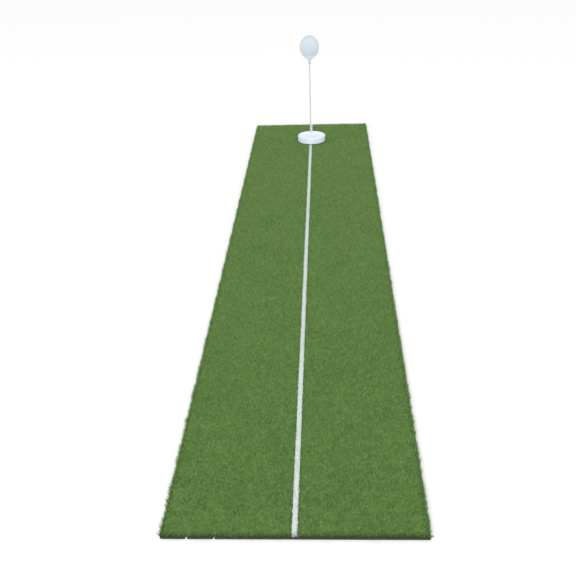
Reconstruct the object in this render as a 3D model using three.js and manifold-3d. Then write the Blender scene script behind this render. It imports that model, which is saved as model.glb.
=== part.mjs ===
// Practice putting mat: a strip of tufted turf with a white aiming line, a shallow cup that
// stands on the far end, and a marker flag that plugs into the back of the cup.
// Millimetres. The origin is under the middle of the mat, +Y runs from the player to the cup,
// +Z is up.

import * as THREE from 'three';
import { mergeVertices } from 'three/addons/utils/BufferGeometryUtils.js';
import Module from 'manifold-3d';

// ---- Driving dimensions ----

// Mat
const MAT_WIDTH = 457;
const MAT_LENGTH = 2438;
const MAT_CORNER_RADIUS = 4;
const RUBBER_THICKNESS = 2.4;
const WEAVE_THICKNESS = 0.8;
const PILE_HEIGHT = 9;
const LINE_WIDTH = 9.5;

// Cup
const CUP_DIAMETER = 108;
const CUP_HEIGHT = 23;
const CUP_SETBACK = 234; // from the far end of the mat to the middle of the cup
const CUP_ASIDE = 3.5; // the loose cup stands this far right of the line, turned to suit the flag
const CUP_WALL = 2.2;
const RIM_WIDTH = 4;
const RIM_ROUNDING = 2.6;
const SLOPE_WIDTH = 12;
const DISH_DEPTH = 8;
const RIB_COUNT = 8;
const RIB_THICKNESS = 1.8;
const RIB_RELIEF = 3.3; // from the cup's underside up to the ribs
const HUB_DIAMETER = 14;
const GRIP_RING_WIDTH = 7;
const GRIP_RING_THICKNESS = 3;
const SKIRT_RELIEF = 0.8; // the skirt's edge stands this far above the grip ring's underside

// Flag socket, moulded into the back of the cup's slope
const SOCKET_INSET = 12; // from the cup's outside to the middle of the socket
const SOCKET_WALL = 1.6;
const SOCKET_DROP = 2; // the socket's mouth lies this far below the rim
const SOCKET_FLOOR = 1.6;
const BUSH_WALL = 1.6;
const BUSH_FLOOR = 1.5;
const BUSH_FLANGE_WIDTH = 1.2; // beyond the bush's wall
const BUSH_FLANGE_THICKNESS = 1.2;

// Flag
const ROD_DIAMETER = 5;
const ROD_LENGTH = 311;
const ROD_CHAMFER = 0.8;
const SLEEVE_WALL = 1.9;
const SLEEVE_DEPTH = 16; // how far the rod reaches into the sleeve
const SLEEVE_TIP = 5; // the closed end above the rod
const SLEEVE_SHOULDER = 1.9; // how far in the closed end's slope reaches
const SLEEVE_SHOULDER_DROP = 1; // and how far below its tip that slope ends
const COLLAR_LENGTH = 6.5;
const COLLAR_WALL = 2.1;
const HEAD_HALF_WIDTH = 37.6;
const HEAD_RISE = 45; // from its widest level up to the rounded top
const HEAD_TAIL = 48.6; // from its widest level down to the neck
const TAIL_FLARE = 5.5; // half width that the tail's curve leaves the neck towards
const TAIL_FLARE_RISE = 2.7; // and how high above the neck that point lies
const TAIL_SHOULDER = 32.5; // how far below the widest level the tail's curve turns in
const HEAD_THICKNESS = 4.4;
const NECK_WIDTH = 10;
const NECK_LENGTH = 7.4; // the sleeve shows this far below the head
const HEAD_BORDER = 5;
const PANEL_THICKNESS = 1.2;
const PANEL_GRIP = 2.6; // how far the panel reaches into the border's groove
const WEB_HEIGHT = 16; // the solid foot of the head, above the neck

// Clearances
const SEAT_GAP = 0.3; // between pieces that rest on or beside each other
const BORE_GAP = 0.3; // on the radius, around the rod and the bush

// Facets
const ROUND_STEPS = 96;
const SMALL_STEPS = 40;
const CORNER_STEPS = 6;
const ROUNDING_STEPS = 4;
const SLOPE_STEPS = 6;
const TAIL_STEPS = 14;
const HEAD_STEPS = 36;
const PAST = 1; // how far a cutting tool runs past the face that it cuts

// ---- Places that follow from them ----

const weaveFloor = RUBBER_THICKNESS;
const pileFloor = weaveFloor + WEAVE_THICKNESS;
const pileTop = pileFloor + PILE_HEIGHT;

const cupRadius = CUP_DIAMETER / 2;
const cupFloor = pileTop + SEAT_GAP;
const cupY = MAT_LENGTH / 2 - CUP_SETBACK;
const rimInner = cupRadius - RIM_WIDTH;
const dishRadius = rimInner - SLOPE_WIDTH;
const dishFloor = CUP_HEIGHT - DISH_DEPTH;

const rodRadius = ROD_DIAMETER / 2;
const bushBore = rodRadius + BORE_GAP;
const bushRadius = bushBore + BUSH_WALL;
const flangeRadius = bushRadius + BUSH_FLANGE_WIDTH;
const socketBore = bushRadius + BORE_GAP;
const socketRadius = socketBore + SOCKET_WALL;
const socketOffset = cupRadius - SOCKET_INSET;
const cupTurn = Math.asin(CUP_ASIDE / socketOffset); // keeps the flag over the line
const flagY = cupY + socketOffset * Math.cos(cupTurn);
const socketTop = CUP_HEIGHT - SOCKET_DROP;
const bushFoot = SOCKET_FLOOR + SKIRT_RELIEF + SEAT_GAP;
const rodFoot = cupFloor + bushFoot + BUSH_FLOOR + SEAT_GAP;

const rodTop = rodFoot + ROD_LENGTH;
const sleeveFoot = rodTop - SLEEVE_DEPTH;
const neckTop = sleeveFoot + NECK_LENGTH;
const headCentre = neckTop + HEAD_TAIL;
const sleeveRadius = bushBore + SLEEVE_WALL;
const sleeveTop = rodTop + SLEEVE_TIP;
const collarFoot = sleeveFoot - SEAT_GAP - COLLAR_LENGTH;

// ---- Materials ----

function material(name, color, roughness, metalness = 0) {
  return new THREE.MeshStandardMaterial({ name, color, roughness, metalness });
}

const rubberMaterial = material('backing_rubber', 0x2f312f, 0.9);
const weaveMaterial = material('backing_weave', 0x4b5046, 0.95);
const greenPileMaterial = material('green_pile', 0x557a3c, 0.85);
const whitePileMaterial = material('white_pile', 0xe6efe8, 0.85);
const cupMaterial = material('cup_plastic', 0xe8ecf2, 0.4);
const gripMaterial = material('grip_rubber', 0x3a3c3e, 0.9);
const bushMaterial = material('bush_plastic', 0xc9ccd6, 0.6);
const rodMaterial = material('rod_lacquer', 0xd2d2d8, 0.35);
const collarMaterial = material('collar_plastic', 0x9aa0a6, 0.5);
const borderMaterial = material('head_border', 0xbccad6, 0.45);
const panelMaterial = material('head_panel', 0xd2e2ee, 0.35);

// ---- Solid helpers ----

const wasm = await Module();
wasm.setup();

function solidOf(geometry) {
  const bare = geometry.clone();
  bare.deleteAttribute('normal');
  bare.deleteAttribute('uv');
  const merged = mergeVertices(bare, 1e-4);
  return new wasm.Manifold(new wasm.Mesh({
    numProp: 3,
    vertProperties: new Float32Array(merged.attributes.position.array),
    triVerts: new Uint32Array(merged.index.array),
  }));
}

function geometryOf(solid) {
  const mesh = solid.getMesh();
  const geometry = new THREE.BufferGeometry();
  geometry.setAttribute('position', new THREE.BufferAttribute(mesh.vertProperties, 3));
  geometry.setIndex(new THREE.BufferAttribute(mesh.triVerts, 1));
  geometry.computeVertexNormals();
  return geometry;
}

// A solid of revolution about Z. The profile's points are (radius, height), ordered from the
// underside, round the outside, to the top.
function turned(points, steps = ROUND_STEPS) {
  const geometry = new THREE.LatheGeometry(points.map(([r, z]) => new THREE.Vector2(r, z)), steps);
  return geometry.rotateX(Math.PI / 2);
}

// A round bar or tube between two heights.
function bar(radius, low, high, steps = SMALL_STEPS) {
  return turned([[0, low], [radius, low], [radius, high], [0, high]], steps);
}

function tube(inner, outer, low, high, steps = SMALL_STEPS) {
  const wall = [[inner, low], [outer, low], [outer, high], [inner, high], [inner, low]];
  return turned(wall, steps);
}

// A shape drawn in the upright X-Z plane, given a thickness along Y about the middle plane.
function upright(shape, thickness) {
  const geometry = new THREE.ExtrudeGeometry(shape, { depth: thickness, bevelEnabled: false });
  return geometry.translate(0, 0, -thickness / 2).rotateX(Math.PI / 2);
}

function piece(name, geometry, surface) {
  const mesh = new THREE.Mesh(geometry, surface);
  mesh.name = name;
  return mesh;
}

// ---- Mat ----

// A flat layer of the mat between two values of X. Only the mat's own corners are rounded.
function matLayer(left, right, thickness) {
  const front = -MAT_LENGTH / 2;
  const back = MAT_LENGTH / 2;
  const radius = MAT_CORNER_RADIUS;
  const shape = new THREE.Shape();
  if (left <= -MAT_WIDTH / 2) {
    shape.absarc(left + radius, back - radius, radius, Math.PI / 2, Math.PI, false);
    shape.absarc(left + radius, front + radius, radius, Math.PI, Math.PI * 1.5, false);
  } else {
    shape.moveTo(left, back);
    shape.lineTo(left, front);
  }
  if (right >= MAT_WIDTH / 2) {
    shape.absarc(right - radius, front + radius, radius, -Math.PI / 2, 0, false);
    shape.absarc(right - radius, back - radius, radius, 0, Math.PI / 2, false);
  } else {
    shape.lineTo(right, front);
    shape.lineTo(right, back);
  }
  shape.closePath();
  return new THREE.ExtrudeGeometry(shape, {
    depth: thickness,
    bevelEnabled: false,
    curveSegments: CORNER_STEPS,
  });
}

function buildMat() {
  const mat = new THREE.Group();
  const edge = MAT_WIDTH / 2;
  const seam = LINE_WIDTH / 2;

  const rubber = piece('rubber_backing', matLayer(-edge, edge, RUBBER_THICKNESS), rubberMaterial);
  mat.add(rubber);

  const weave = piece('woven_backing', matLayer(-edge, edge, WEAVE_THICKNESS), weaveMaterial);
  weave.position.z = weaveFloor;
  mat.add(weave);

  const strips = [
    ['turf_left', -edge, -seam, greenPileMaterial],
    ['line_pile', -seam, seam, whitePileMaterial],
    ['turf_right', seam, edge, greenPileMaterial],
  ];
  for (const [name, left, right, surface] of strips) {
    const strip = piece(name, matLayer(left, right, PILE_HEIGHT), surface);
    strip.position.z = pileFloor;
    mat.add(strip);
  }
  return mat;
}

// ---- Cup ----

// The rim, the slope and the dish floor: the cup's upper surface, from outside to the axis.
function cupUpperSurface() {
  const points = [[cupRadius, CUP_HEIGHT - RIM_ROUNDING]];
  for (let i = 1; i <= ROUNDING_STEPS; i += 1) {
    const angle = (i / ROUNDING_STEPS) * (Math.PI / 2);
    points.push([
      cupRadius - RIM_ROUNDING * (1 - Math.cos(angle)),
      CUP_HEIGHT - RIM_ROUNDING * (1 - Math.sin(angle)),
    ]);
  }
  for (let i = 0; i <= SLOPE_STEPS; i += 1) {
    const t = i / SLOPE_STEPS;
    const fall = (1 - Math.cos(t * Math.PI)) / 2;
    points.push([rimInner - SLOPE_WIDTH * t, CUP_HEIGHT - DISH_DEPTH * fall]);
  }
  points.push([0, dishFloor]);
  return points;
}

// The hollow below that surface, one wall inside it, open at the skirt's foot.
function cupHollow() {
  const inner = cupRadius - CUP_WALL;
  return [
    [0, -PAST],
    [inner, -PAST],
    [inner, CUP_HEIGHT - CUP_WALL],
    [rimInner - CUP_WALL / 2, CUP_HEIGHT - CUP_WALL],
    [dishRadius - CUP_WALL / 2, dishFloor - CUP_WALL],
    [0, dishFloor - CUP_WALL],
  ];
}

function cupEnvelope(foot) {
  return solidOf(turned([[0, foot], [cupRadius, foot], ...cupUpperSurface()]));
}

function buildCup() {
  const cup = new THREE.Group();
  cup.position.set(CUP_ASIDE, cupY, cupFloor);
  cup.rotation.z = cupTurn;

  const shell = cupEnvelope(SKIRT_RELIEF).subtract(solidOf(turned(cupHollow())));

  let stiffening = solidOf(bar(HUB_DIAMETER / 2, RIB_RELIEF, CUP_HEIGHT));
  for (let i = 0; i < RIB_COUNT; i += 1) {
    const reach = cupRadius - CUP_WALL / 2;
    const height = CUP_HEIGHT - RIB_RELIEF;
    const rib = new THREE.BoxGeometry(reach, RIB_THICKNESS, height);
    rib.translate(reach / 2, 0, RIB_RELIEF + height / 2);
    rib.rotateZ(((i + 0.5) / RIB_COUNT) * Math.PI * 2);
    stiffening = stiffening.add(solidOf(rib));
  }
  stiffening = stiffening.intersect(cupEnvelope(RIB_RELIEF));

  const boss = solidOf(bar(socketRadius, SKIRT_RELIEF, socketTop));
  const mouth = solidOf(bar(flangeRadius + SEAT_GAP, socketTop, CUP_HEIGHT + PAST));
  const bore = solidOf(bar(socketBore, bushFoot - SEAT_GAP, CUP_HEIGHT + PAST));
  const dish = shell.add(stiffening)
    .add(boss.translate([0, socketOffset, 0]))
    .subtract(mouth.translate([0, socketOffset, 0]))
    .subtract(bore.translate([0, socketOffset, 0]));
  cup.add(piece('cup_dish', geometryOf(dish), cupMaterial));

  // The grip ring lies inside the skirt and is notched around the socket.
  const ringOuter = cupRadius - CUP_WALL - SEAT_GAP;
  const ring = solidOf(tube(ringOuter - GRIP_RING_WIDTH, ringOuter, 0, GRIP_RING_THICKNESS, ROUND_STEPS));
  const notch = solidOf(bar(socketRadius + SEAT_GAP, -PAST, GRIP_RING_THICKNESS + PAST))
    .translate([0, socketOffset, 0]);
  cup.add(piece('cup_grip_ring', geometryOf(ring.subtract(notch)), gripMaterial));

  const flangeFoot = socketTop + SEAT_GAP;
  const flangeTop = flangeFoot + BUSH_FLANGE_THICKNESS;
  const bush = piece('socket_bush', turned([
    [0, bushFoot],
    [bushRadius, bushFoot],
    [bushRadius, flangeFoot],
    [flangeRadius, flangeFoot],
    [flangeRadius, flangeTop],
    [bushBore, flangeTop],
    [bushBore, bushFoot + BUSH_FLOOR],
    [0, bushFoot + BUSH_FLOOR],
  ], SMALL_STEPS), bushMaterial);
  bush.position.y = socketOffset;
  cup.add(bush);
  return cup;
}

// ---- Flag ----

// Points of the head's outline, moved inwards by inset, from the foot of the right side over
// the round top to the foot of the left side. Each is (x, height) from the head's widest level.
function headOutline(inset) {
  const tail = new THREE.CubicBezierCurve(
    new THREE.Vector2(NECK_WIDTH / 2, -HEAD_TAIL),
    new THREE.Vector2(TAIL_FLARE, TAIL_FLARE_RISE - HEAD_TAIL),
    new THREE.Vector2(HEAD_HALF_WIDTH, -TAIL_SHOULDER),
    new THREE.Vector2(HEAD_HALF_WIDTH, 0),
  );
  const right = [];
  for (let i = 0; i < TAIL_STEPS; i += 1) {
    const t = i / TAIL_STEPS;
    const at = tail.getPoint(t);
    const along = tail.getTangent(t);
    right.push(new THREE.Vector2(at.x - along.y * inset, at.y + along.x * inset));
  }
  const top = [];
  for (let i = 0; i <= HEAD_STEPS; i += 1) {
    const angle = (i / HEAD_STEPS) * Math.PI;
    const x = (HEAD_HALF_WIDTH - inset) * Math.cos(angle);
    const y = (HEAD_RISE - inset) * Math.sin(angle);
    top.push(new THREE.Vector2(x, y));
  }
  const left = right.map((point) => new THREE.Vector2(-point.x, point.y)).reverse();
  return [...right, ...top, ...left];
}

// The part of that outline above the head's solid foot, closed straight across.
function headWindow(inset) {
  const foot = -HEAD_TAIL + WEB_HEIGHT + inset - HEAD_BORDER;
  const points = headOutline(inset);
  const inside = points.filter((point) => point.y > foot);
  const first = points.indexOf(inside[0]);
  const below = points[first - 1];
  const share = (foot - below.y) / (inside[0].y - below.y);
  const footX = below.x + (inside[0].x - below.x) * share;
  return new THREE.Shape([
    new THREE.Vector2(footX, foot),
    ...inside,
    new THREE.Vector2(-footX, foot),
  ]);
}

function buildFlag() {
  const flag = new THREE.Group();
  flag.position.set(0, flagY, 0);

  flag.add(piece('flag_rod', turned([
    [0, rodFoot],
    [rodRadius - ROD_CHAMFER, rodFoot],
    [rodRadius, rodFoot + ROD_CHAMFER],
    [rodRadius, rodTop - ROD_CHAMFER],
    [rodRadius - ROD_CHAMFER, rodTop],
    [0, rodTop],
  ], SMALL_STEPS), rodMaterial));

  const collarRadius = bushBore + COLLAR_WALL;
  flag.add(piece('neck_collar', turned([
    [bushBore, collarFoot],
    [collarRadius - ROD_CHAMFER, collarFoot],
    [collarRadius, collarFoot + ROD_CHAMFER],
    [collarRadius, collarFoot + COLLAR_LENGTH],
    [bushBore, collarFoot + COLLAR_LENGTH],
    [bushBore, collarFoot],
  ], SMALL_STEPS), collarMaterial));

  const plate = solidOf(upright(new THREE.Shape(headOutline(0)), HEAD_THICKNESS))
    .translate([0, 0, headCentre]);
  const sleeve = solidOf(turned([
    [0, sleeveFoot],
    [sleeveRadius, sleeveFoot],
    [sleeveRadius, rodTop],
    [sleeveRadius - SLEEVE_SHOULDER, sleeveTop - SLEEVE_SHOULDER_DROP],
    [0, sleeveTop],
  ], SMALL_STEPS));
  const window = solidOf(upright(headWindow(HEAD_BORDER), HEAD_THICKNESS + sleeveRadius * 2))
    .translate([0, 0, headCentre]);
  const groove = solidOf(upright(
    headWindow(HEAD_BORDER - PANEL_GRIP - SEAT_GAP),
    PANEL_THICKNESS + SEAT_GAP * 2,
  )).translate([0, 0, headCentre]);
  const bore = solidOf(bar(bushBore, sleeveFoot - PAST, rodTop + SEAT_GAP));
  const border = plate.add(sleeve).subtract(window).subtract(groove).subtract(bore);
  flag.add(piece('head_border', geometryOf(border), borderMaterial));

  const panel = upright(headWindow(HEAD_BORDER - PANEL_GRIP), PANEL_THICKNESS);
  panel.translate(0, 0, headCentre);
  flag.add(piece('head_panel', panel, panelMaterial));
  return flag;
}

// ---- Assembly ----

const puttingMat = new THREE.Group();
puttingMat.add(buildMat(), buildCup(), buildFlag());

export default puttingMat;
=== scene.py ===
"""Practice putting mat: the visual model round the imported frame.

The mat is built as such mats are: a rubber layer, a woven cloth, and rows of green and white
tufts standing in it. The cup, its grip ring and socket bush, and the marker flag follow the
frame's own sizes. Metres, +Y from the player to the cup, +Z up.
"""

import math

import bpy
import numpy as np
from mathutils import Matrix, Vector


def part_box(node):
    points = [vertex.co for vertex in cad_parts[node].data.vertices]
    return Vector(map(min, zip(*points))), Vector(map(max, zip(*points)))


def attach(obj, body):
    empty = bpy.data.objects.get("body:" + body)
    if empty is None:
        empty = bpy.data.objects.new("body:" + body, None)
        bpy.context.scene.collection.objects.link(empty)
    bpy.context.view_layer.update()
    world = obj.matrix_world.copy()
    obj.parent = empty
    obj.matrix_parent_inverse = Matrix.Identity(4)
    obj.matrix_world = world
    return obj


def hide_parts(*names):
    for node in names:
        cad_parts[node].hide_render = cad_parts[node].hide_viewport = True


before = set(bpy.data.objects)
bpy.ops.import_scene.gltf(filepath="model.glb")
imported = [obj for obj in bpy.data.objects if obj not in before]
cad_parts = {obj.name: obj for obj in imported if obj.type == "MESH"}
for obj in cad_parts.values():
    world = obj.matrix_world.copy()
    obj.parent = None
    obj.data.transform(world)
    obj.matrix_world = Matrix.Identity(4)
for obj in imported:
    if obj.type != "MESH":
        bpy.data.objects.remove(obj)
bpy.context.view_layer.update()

bl_info = {
    "name": "Practice putting mat",
    "version": (1, 0, 0),
    "blender": (4, 5, 0),
    "location": "View3D > Sidebar > Putting mat",
    "description": "Builds a tufted putting mat with its cup and marker flag",
    "category": "Add Mesh",
}

MM = 0.001
TURN = 2 * math.pi


def srgb(red, green, blue):
    """A display colour of 0 to 255 as scene-linear values."""
    values = []
    for channel in (red, green, blue):
        share = channel / 255
        values.append(share / 12.92 if share <= 0.04045 else ((share + 0.055) / 1.055) ** 2.4)
    return tuple(values)


# ---- Places that come from the frame ----

RUBBER_LOW, RUBBER_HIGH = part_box("rubber_backing")
WEAVE_LOW, WEAVE_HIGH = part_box("woven_backing")
PILE_LOW, PILE_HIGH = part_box("turf_left")
_, LINE_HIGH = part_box("line_pile")
CUP_LOW, CUP_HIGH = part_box("cup_dish")
RING_LOW, RING_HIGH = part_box("cup_grip_ring")
BUSH_LOW, BUSH_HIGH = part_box("socket_bush")
ROD_LOW, ROD_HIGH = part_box("flag_rod")
COLLAR_LOW, COLLAR_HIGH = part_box("neck_collar")
HEAD_LOW, HEAD_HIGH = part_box("head_border")

HALF_WIDTH = RUBBER_HIGH[0]
HALF_LENGTH = RUBBER_HIGH[1]
HALF_LINE = LINE_HIGH[0]
PILE_FLOOR = PILE_LOW[2]
PILE_TOP = PILE_HIGH[2]
CUP_CENTRE = Vector(((CUP_LOW[0] + CUP_HIGH[0]) / 2, (CUP_LOW[1] + CUP_HIGH[1]) / 2, RING_LOW[2]))
CUP_RADIUS = (CUP_HIGH[0] - CUP_LOW[0]) / 2
ROD_AXIS = Vector(((ROD_LOW[0] + ROD_HIGH[0]) / 2, (ROD_LOW[1] + ROD_HIGH[1]) / 2, 0))

# Bare backing outside the outermost tufts.
BARE_EDGE = 1.0 * MM
# Small cuts in the near edge: place across, half width at the edge, depth.
NICKS = [
    (-HALF_WIDTH + 45 * MM, 2.2 * MM, 9 * MM),
    (-HALF_WIDTH + 92 * MM, 1.8 * MM, 8 * MM),
]


def on_rod(height):
    """A place on the rod's axis."""
    return (ROD_AXIS[0], ROD_AXIS[1], height)


def scaled(colour, share):
    """A colour made darker or lighter."""
    return tuple(channel * share for channel in colour)


# ---- Settings ----


class BackingSettings(bpy.types.PropertyGroup):
    corner: bpy.props.FloatProperty(
        name="Corner radius",
        description="Radius of the mat's corners",
        default=4 * MM,
        unit="LENGTH",
    )
    edge_wave: bpy.props.FloatProperty(
        name="Cut waviness",
        description="How far the cut edge of the cloth wanders",
        default=0.5 * MM,
        unit="LENGTH",
    )
    rubber: bpy.props.FloatVectorProperty(
        name="Rubber",
        description="Colour of the rubber layer",
        default=srgb(38, 42, 33),
        subtype="COLOR",
    )
    cloth: bpy.props.FloatVectorProperty(
        name="Cloth",
        description="Colour of the woven cloth",
        default=srgb(74, 80, 64),
        subtype="COLOR",
    )
    fray: bpy.props.FloatVectorProperty(
        name="Frayed ends",
        description="Colour of the cut tapes along the edges",
        default=srgb(132, 136, 112),
        subtype="COLOR",
    )


class TurfSettings(bpy.types.PropertyGroup):
    row_gauge: bpy.props.FloatProperty(
        name="Row gauge",
        description="Spacing of the tuft rows across the mat",
        default=4.97 * MM,
        unit="LENGTH",
    )
    stitch: bpy.props.FloatProperty(
        name="Stitch",
        description="Spacing of the tufts along a row",
        default=5.4 * MM,
        unit="LENGTH",
    )
    blades: bpy.props.IntProperty(
        name="Blades",
        description="Blades in one green tuft",
        default=10,
        min=2,
        max=12,
    )
    blade_width: bpy.props.FloatProperty(
        name="Blade width",
        description="Width of a blade at its foot",
        default=1.3 * MM,
        unit="LENGTH",
    )
    root: bpy.props.FloatVectorProperty(
        name="Root green",
        description="Colour deep in the pile",
        default=srgb(86, 123, 56),
        subtype="COLOR",
    )
    dark: bpy.props.FloatVectorProperty(
        name="Dark green",
        description="Colour of the darker blades",
        default=srgb(98, 141, 63),
        subtype="COLOR",
    )
    light: bpy.props.FloatVectorProperty(
        name="Light green",
        description="Colour of the lighter blades",
        default=srgb(160, 198, 115),
        subtype="COLOR",
    )
    white: bpy.props.FloatVectorProperty(
        name="Line white",
        description="Colour of the aiming line's tufts",
        default=srgb(248, 255, 254),
        subtype="COLOR",
    )


class CupSettings(bpy.types.PropertyGroup):
    steps: bpy.props.IntProperty(
        name="Steps round",
        description="Faces round the cup",
        default=144,
        min=48,
        max=256,
    )
    plastic: bpy.props.FloatVectorProperty(
        name="Cup plastic",
        description="Colour of the cup",
        default=srgb(224, 232, 248),
        subtype="COLOR",
    )
    grip: bpy.props.FloatVectorProperty(
        name="Grip rubber",
        description="Colour of the ring under the cup",
        default=srgb(58, 60, 62),
        subtype="COLOR",
    )
    bush: bpy.props.FloatVectorProperty(
        name="Bush plastic",
        description="Colour of the socket's liner",
        default=srgb(201, 204, 214),
        subtype="COLOR",
    )


class FlagSettings(bpy.types.PropertyGroup):
    rod: bpy.props.FloatVectorProperty(
        name="Rod lacquer",
        description="Colour of the rod",
        default=srgb(192, 192, 198),
        subtype="COLOR",
    )
    collar: bpy.props.FloatVectorProperty(
        name="Collar",
        description="Colour of the ring under the head",
        default=srgb(180, 183, 188),
        subtype="COLOR",
    )
    border: bpy.props.FloatVectorProperty(
        name="Head border",
        description="Colour of the head's edge",
        default=srgb(189, 197, 205),
        subtype="COLOR",
    )
    panel: bpy.props.FloatVectorProperty(
        name="Head panel",
        description="Colour of the head's panel",
        default=srgb(191, 202, 212),
        subtype="COLOR",
    )


class StageSettings(bpy.types.PropertyGroup):
    floor: bpy.props.FloatVectorProperty(
        name="Floor",
        description="Colour of the floor",
        default=(0.93, 0.93, 0.93),
        subtype="COLOR",
    )
    key: bpy.props.FloatProperty(
        name="Key light",
        description="Power in watts of the broad light at the front left",
        default=105.0,
    )
    key_size: bpy.props.FloatProperty(
        name="Key size",
        description="Side of the key light",
        default=2.6,
        unit="LENGTH",
    )
    fill: bpy.props.FloatProperty(
        name="Fill light",
        description="Strength of the low soft light from the front",
        default=1.6,
    )
    softness: bpy.props.FloatProperty(
        name="Softness",
        description="How wide the fill light looks from the mat",
        default=math.radians(57),
        subtype="ANGLE",
    )
    surround: bpy.props.FloatProperty(
        name="Surround",
        description="Strength of the even light all round",
        default=0.94,
    )


# ---- Modelling helpers ----


def deselect():
    """Leaves nothing selected."""
    if bpy.context.object and bpy.context.object.mode != "OBJECT":
        bpy.ops.object.mode_set(mode="OBJECT")
    bpy.ops.object.select_all(action="DESELECT")


def pick(piece):
    """Makes one object the active and only selected one."""
    deselect()
    piece.select_set(True)
    bpy.context.view_layer.objects.active = piece


def settle(piece):
    """Puts the object's place, turn and scale into its mesh."""
    pick(piece)
    bpy.ops.object.transform_apply(location=True, rotation=True, scale=True)


def cylinder(name, centre, radius, low, high, sides=64):
    """A round bar standing at a place, between two heights."""
    deselect()
    bpy.ops.mesh.primitive_cylinder_add(
        vertices=sides,
        radius=radius,
        depth=high - low,
        location=(centre[0], centre[1], (low + high) / 2),
    )
    piece = bpy.context.object
    piece.name = name
    settle(piece)
    return piece


def linked(name, data):
    """A new object in the scene that holds a mesh, light or camera."""
    made = bpy.data.objects.new(name, data)
    bpy.context.scene.collection.objects.link(made)
    return made


def drawn(name, points, edges, faces):
    """A mesh object from points and the edges or faces between them."""
    mesh = bpy.data.meshes.new(name)
    mesh.from_pydata([tuple(point) for point in points], edges, faces)
    return linked(name, mesh)


def push_out(piece, way):
    """Pushes all of a flat mesh along a vector, which makes it a closed solid."""
    pick(piece)
    bpy.ops.object.mode_set(mode="EDIT")
    bpy.ops.mesh.select_all(action="SELECT")
    bpy.ops.mesh.extrude_region_move(TRANSFORM_OT_translate={"value": way})
    bpy.ops.mesh.select_all(action="SELECT")
    bpy.ops.mesh.normals_make_consistent(inside=False)
    bpy.ops.object.mode_set(mode="OBJECT")


def turned(name, profile, centre, steps):
    """Spins a profile of (radius, height) points about the upright axis through a place.

    The profile starts and ends on the axis, or comes back to its first point.
    """
    points = [(centre[0] + radius, centre[1], centre[2] + height) for radius, height in profile]
    chain = [(index, index + 1) for index in range(len(points) - 1)]
    piece = drawn(name, points, chain, [])
    pick(piece)
    bpy.ops.object.mode_set(mode="EDIT")
    bpy.ops.mesh.select_all(action="SELECT")
    bpy.ops.mesh.spin(steps=steps, angle=TURN, center=centre, axis=(0, 0, 1))
    bpy.ops.mesh.select_all(action="SELECT")
    bpy.ops.mesh.remove_doubles(threshold=0.002 * MM)
    bpy.ops.mesh.select_all(action="SELECT")
    bpy.ops.mesh.normals_make_consistent(inside=False)
    bpy.ops.object.mode_set(mode="OBJECT")
    return piece


def extruded(name, points, way):
    """A flat outline pushed along a vector into a closed solid."""
    piece = drawn(name, points, [], [list(range(len(points)))])
    push_out(piece, way)
    return piece


def combine(piece, other, way, solver="EXACT"):
    """Joins or cuts a solid with another one, which is then removed.

    MANIFOLD is the steadier solver, also where bars cross inside one solid. EXACT leaves larger
    faces, which suit a later bevel.
    """
    pick(piece)
    modifier = piece.modifiers.new("Boolean", "BOOLEAN")
    modifier.operation = way
    modifier.solver = solver
    modifier.object = other
    bpy.ops.object.modifier_apply(modifier=modifier.name)
    bpy.data.objects.remove(other, do_unlink=True)


def bevelled(piece, width, segments=2, angle=35):
    """Rounds the solid's sharp edges."""
    pick(piece)
    modifier = piece.modifiers.new("Bevel", "BEVEL")
    modifier.width = width
    modifier.segments = segments
    modifier.limit_method = "ANGLE"
    modifier.angle_limit = math.radians(angle)
    bpy.ops.object.modifier_apply(modifier=modifier.name)


def smooth(piece, angle=40):
    """Smooth shading, with edges sharper than the angle kept sharp."""
    pick(piece)
    bpy.ops.object.shade_smooth_by_angle(angle=math.radians(angle))


def rounded(middle, radius, start, end, steps=4):
    """Points of an arc round (radius, height), between two angles in degrees."""
    points = []
    for index in range(steps + 1):
        angle = math.radians(start + (end - start) * index / steps)
        points.append((middle[0] + radius * math.cos(angle), middle[1] + radius * math.sin(angle)))
    return points


def finish_piece(piece, body, slot, surface, *nodes):
    """Gives a piece its material and its body, and hides the frame nodes that it stands for."""
    piece.data.materials.clear()
    piece.data.materials.append(surface)
    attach(piece, body)
    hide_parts(*nodes)
    return piece


# ---- Shader groups ----


def new_group(name, inputs, outputs):
    """An empty shader group with (name, kind, default) inputs and (name, kind) outputs."""
    group = bpy.data.node_groups.new(name, "ShaderNodeTree")
    for label, kind, value in inputs:
        socket = group.interface.new_socket(name=label, in_out="INPUT", socket_type=kind)
        socket.default_value = value
    for label, kind in outputs:
        group.interface.new_socket(name=label, in_out="OUTPUT", socket_type=kind)
    entry = group.nodes.new("NodeGroupInput")
    leave = group.nodes.new("NodeGroupOutput")
    return group, entry, leave


def feed(tree, socket, value):
    """Sets a socket to a number or a colour, or links another node's output to it."""
    if isinstance(value, (int, float)):
        socket.default_value = value
    elif isinstance(value, (tuple, list)):
        socket.default_value = (*value[:3], 1.0)
    else:
        tree.links.new(value, socket)


def noise(tree, vector, scale, detail=2.0):
    """The value of a noise texture."""
    node = tree.nodes.new("ShaderNodeTexNoise")
    node.inputs["Scale"].default_value = scale
    node.inputs["Detail"].default_value = detail
    tree.links.new(vector, node.inputs["Vector"])
    return node.outputs["Fac"]


def spread(tree, value, low, high, to_low=0.0, to_high=1.0):
    """A value stretched from one range to another, and held at its ends."""
    node = tree.nodes.new("ShaderNodeMapRange")
    tree.links.new(value, node.inputs["Value"])
    node.inputs["From Min"].default_value = low
    node.inputs["From Max"].default_value = high
    node.inputs["To Min"].default_value = to_low
    node.inputs["To Max"].default_value = to_high
    return node.outputs["Result"]


def math_node(tree, operation, first, second):
    """The result of one sum on two values."""
    node = tree.nodes.new("ShaderNodeMath")
    node.operation = operation
    feed(tree, node.inputs[0], first)
    feed(tree, node.inputs[1], second)
    return node.outputs["Value"]


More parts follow.
